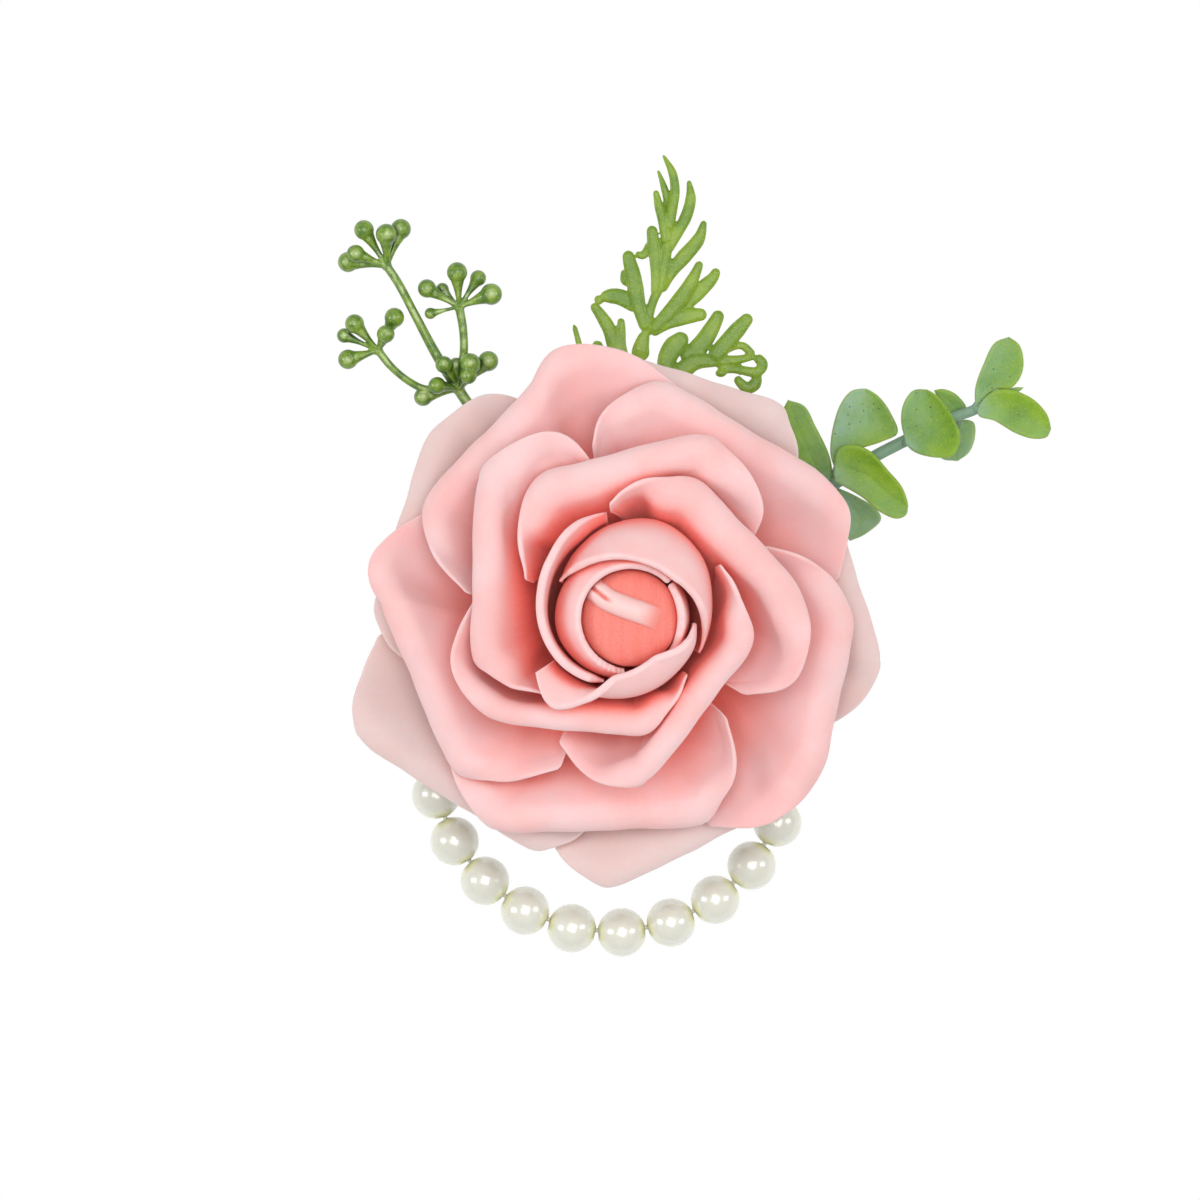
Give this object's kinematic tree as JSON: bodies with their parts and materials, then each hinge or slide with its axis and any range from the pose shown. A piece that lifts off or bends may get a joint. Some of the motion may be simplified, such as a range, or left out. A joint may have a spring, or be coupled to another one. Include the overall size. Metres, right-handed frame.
{
  "type": "wrist corsage",
  "caption": "Wrist corsage: a foam rose with layered rolled petals and artificial sprigs on a felt-backed pad, worn on a stretch bracelet of pearls.",
  "frame": {"origin": "centre of the lower face of the felt back, which lies on the wrist or on a table", "axes": "+Z out of the felt through the rose, +Y towards the sprigs, -Y towards the pearl loop laid flat"},
  "size_m": [0.1143, 0.1273, 0.0481],
  "materials": {
    "foam_pink": "matt closed-cell foam, blush pink",
    "foam_pale": "matt closed-cell foam, paler blush",
    "foam_salmon": "matt closed-cell foam, deep salmon in the bud",
    "pearl": "ivory pearl lacquer",
    "elastic": "clear elastic",
    "felt": "white wool-like felt",
    "hot_glue": "cloudy hot-melt glue",
    "calyx_green": "moulded green plastic",
    "berry_green": "satin moulded plastic, shaded dark",
    "fern_green": "glossy pebbled plastic",
    "leaf_green": "satin plastic with a grey-blue bloom",
    "twig_green": "grey-green bloom"
  },
  "bodies": {
    "flower": {"middle_petal_1": "foam_pink", "middle_petal_2": "foam_pink", "middle_petal_3": "foam_pink", "middle_petal_4": "foam_pink", "middle_petal_5": "foam_pink", "outer_petal_1": "foam_pink", "outer_petal_2": "foam_pink", "outer_petal_3": "foam_pink", "outer_petal_4": "foam_pink", "outer_petal_5": "foam_pink", "under_petal_1": "foam_pale", "under_petal_2": "foam_pale", "under_petal_3": "foam_pale", "under_petal_4": "foam_pale", "under_petal_5": "foam_pale", "bud_wrap_1": "foam_pink", "bud_wrap_2": "foam_pink", "bud_wrap_3": "foam_pink", "inner_wrap_1": "foam_pink", "inner_wrap_2": "foam_pink", "bud_core": "foam_salmon", "receptacle": "calyx_green", "calyx": "calyx_green", "rose_stem_stub": "calyx_green", "trapped_elastic": "elastic", "felt_back": "felt", "glue_pad": "hot_glue", "felt_cover": "felt"},
    "bracelet": {"elastic_cord": "elastic"},
    "spray": {"berry_spray": "berry_green"},
    "fern": {"fern_frond": "fern_green", "fern_side_frond": "fern_green"},
    "eucalyptus": {"eucalyptus_stem": "twig_green", "eucalyptus_leaf_pair_1": "leaf_green", "eucalyptus_leaf_pair_2": "leaf_green", "eucalyptus_leaf_pair_3": "leaf_green", "eucalyptus_leaf_pair_4": "leaf_green"},
    "pearl_01_body": {"pearl_01": "pearl"},
    "pearl_02_body": {"pearl_02": "pearl"},
    "pearl_03_body": {"pearl_03": "pearl"},
    "pearl_04_body": {"pearl_04": "pearl"},
    "pearl_05_body": {"pearl_05": "pearl"},
    "pearl_06_body": {"pearl_06": "pearl"},
    "pearl_07_body": {"pearl_07": "pearl"},
    "pearl_08_body": {"pearl_08": "pearl"},
    "pearl_09_body": {"pearl_09": "pearl"},
    "pearl_10_body": {"pearl_10": "pearl"},
    "pearl_11_body": {"pearl_11": "pearl"},
    "pearl_12_body": {"pearl_12": "pearl"},
    "pearl_13_body": {"pearl_13": "pearl"},
    "pearl_14_body": {"pearl_14": "pearl"},
    "pearl_15_body": {"pearl_15": "pearl"},
    "pearl_16_body": {"pearl_16": "pearl"},
    "pearl_17_body": {"pearl_17": "pearl"}
  },
  "joints": [
    {"name": "bracelet_swing", "type": "hinge", "parent": "flower", "child": "bracelet", "pos_m": [0, 0.0031, 0.0039], "axis": [1, 0, 0], "range_deg": [0, 90]},
    {"name": "pearl_01_stretch", "type": "slide", "parent": "bracelet", "child": "pearl_01_body", "axis": [-0.9414, -0.3374, 0], "range_m": [0, 0.00885]},
    {"name": "pearl_02_stretch", "type": "slide", "parent": "bracelet", "child": "pearl_02_body", "axis": [-0.8673, -0.4977, 0], "range_m": [0, 0.01104]},
    {"name": "pearl_03_stretch", "type": "slide", "parent": "bracelet", "child": "pearl_03_body", "axis": [-0.7739, -0.6333, 0], "range_m": [0, 0.01303]},
    {"name": "pearl_04_stretch", "type": "slide", "parent": "bracelet", "child": "pearl_04_body", "axis": [-0.6644, -0.7474, 0], "range_m": [0, 0.01477]},
    {"name": "pearl_05_stretch", "type": "slide", "parent": "bracelet", "child": "pearl_05_body", "axis": [-0.5414, -0.8408, 0], "range_m": [0, 0.01623]},
    {"name": "pearl_06_stretch", "type": "slide", "parent": "bracelet", "child": "pearl_06_body", "axis": [-0.4076, -0.9132, 0], "range_m": [0, 0.01738]},
    {"name": "pearl_07_stretch", "type": "slide", "parent": "bracelet", "child": "pearl_07_body", "axis": [-0.2657, -0.9641, 0], "range_m": [0, 0.01819]},
    {"name": "pearl_08_stretch", "type": "slide", "parent": "bracelet", "child": "pearl_08_body", "axis": [-0.1185, -0.993, 0], "range_m": [0, 0.01866]},
    {"name": "bracelet_stretch", "type": "slide", "parent": "bracelet", "child": "pearl_09_body", "axis": [0.0309, -0.9995, 0], "range_m": [0, 0.01875], "stiffness_N_per_m": 40, "deforming": ["elastic_cord"]},
    {"name": "pearl_10_stretch", "type": "slide", "parent": "bracelet", "child": "pearl_10_body", "axis": [0.1798, -0.9837, 0], "range_m": [0, 0.01851]},
    {"name": "pearl_11_stretch", "type": "slide", "parent": "bracelet", "child": "pearl_11_body", "axis": [0.3251, -0.9457, 0], "range_m": [0, 0.0179]},
    {"name": "pearl_12_stretch", "type": "slide", "parent": "bracelet", "child": "pearl_12_body", "axis": [0.464, -0.8858, 0], "range_m": [0, 0.01694]},
    {"name": "pearl_13_stretch", "type": "slide", "parent": "bracelet", "child": "pearl_13_body", "axis": [0.5937, -0.8047, 0], "range_m": [0, 0.01566]},
    {"name": "pearl_14_stretch", "type": "slide", "parent": "bracelet", "child": "pearl_14_body", "axis": [0.7115, -0.7027, 0], "range_m": [0, 0.01408]},
    {"name": "pearl_15_stretch", "type": "slide", "parent": "bracelet", "child": "pearl_15_body", "axis": [0.8147, -0.5799, 0], "range_m": [0, 0.01223]},
    {"name": "pearl_16_stretch", "type": "slide", "parent": "bracelet", "child": "pearl_16_body", "axis": [0.9005, -0.4348, 0], "range_m": [0, 0.01016]},
    {"name": "pearl_17_stretch", "type": "slide", "parent": "bracelet", "child": "pearl_17_body", "axis": [0.9652, -0.2617, 0], "range_m": [0, 0.0079]},
    {"name": "spray_bend", "type": "hinge", "parent": "flower", "child": "spray", "pos_m": [-0.00856, 0.01268, 0.006], "axis": [0.829, 0.5592, 0], "range_deg": [-8, 8], "stiffness_Nm_per_rad": 0.03},
    {"name": "fern_bend", "type": "hinge", "parent": "flower", "child": "fern", "pos_m": [0.00292, 0.01502, 0.006], "axis": [0.9816, -0.1908, 0], "range_deg": [-8, 8], "stiffness_Nm_per_rad": 0.03},
    {"name": "eucalyptus_bend", "type": "hinge", "parent": "flower", "child": "eucalyptus", "pos_m": [0.01311, 0.00788, 0.006], "axis": [0.515, -0.8572, 0], "range_deg": [-8, 8], "stiffness_Nm_per_rad": 0.03}
  ],
  "couplings": [
    {"joint": "pearl_01_stretch", "follows": "bracelet_stretch", "ratio": 0.47137},
    {"joint": "pearl_02_stretch", "follows": "bracelet_stretch", "ratio": 0.58817},
    {"joint": "pearl_03_stretch", "follows": "bracelet_stretch", "ratio": 0.69413},
    {"joint": "pearl_04_stretch", "follows": "bracelet_stretch", "ratio": 0.787},
    {"joint": "pearl_05_stretch", "follows": "bracelet_stretch", "ratio": 0.86483},
    {"joint": "pearl_06_stretch", "follows": "bracelet_stretch", "ratio": 0.92609},
    {"joint": "pearl_07_stretch", "follows": "bracelet_stretch", "ratio": 0.96954},
    {"joint": "pearl_08_stretch", "follows": "bracelet_stretch", "ratio": 0.99436},
    {"joint": "pearl_10_stretch", "follows": "bracelet_stretch", "ratio": 0.98639},
    {"joint": "pearl_11_stretch", "follows": "bracelet_stretch", "ratio": 0.95381},
    {"joint": "pearl_12_stretch", "follows": "bracelet_stretch", "ratio": 0.90286},
    {"joint": "pearl_13_stretch", "follows": "bracelet_stretch", "ratio": 0.83458},
    {"joint": "pearl_14_stretch", "follows": "bracelet_stretch", "ratio": 0.75032},
    {"joint": "pearl_15_stretch", "follows": "bracelet_stretch", "ratio": 0.65178},
    {"joint": "pearl_16_stretch", "follows": "bracelet_stretch", "ratio": 0.54104},
    {"joint": "pearl_17_stretch", "follows": "bracelet_stretch", "ratio": 0.42054}
  ]
}
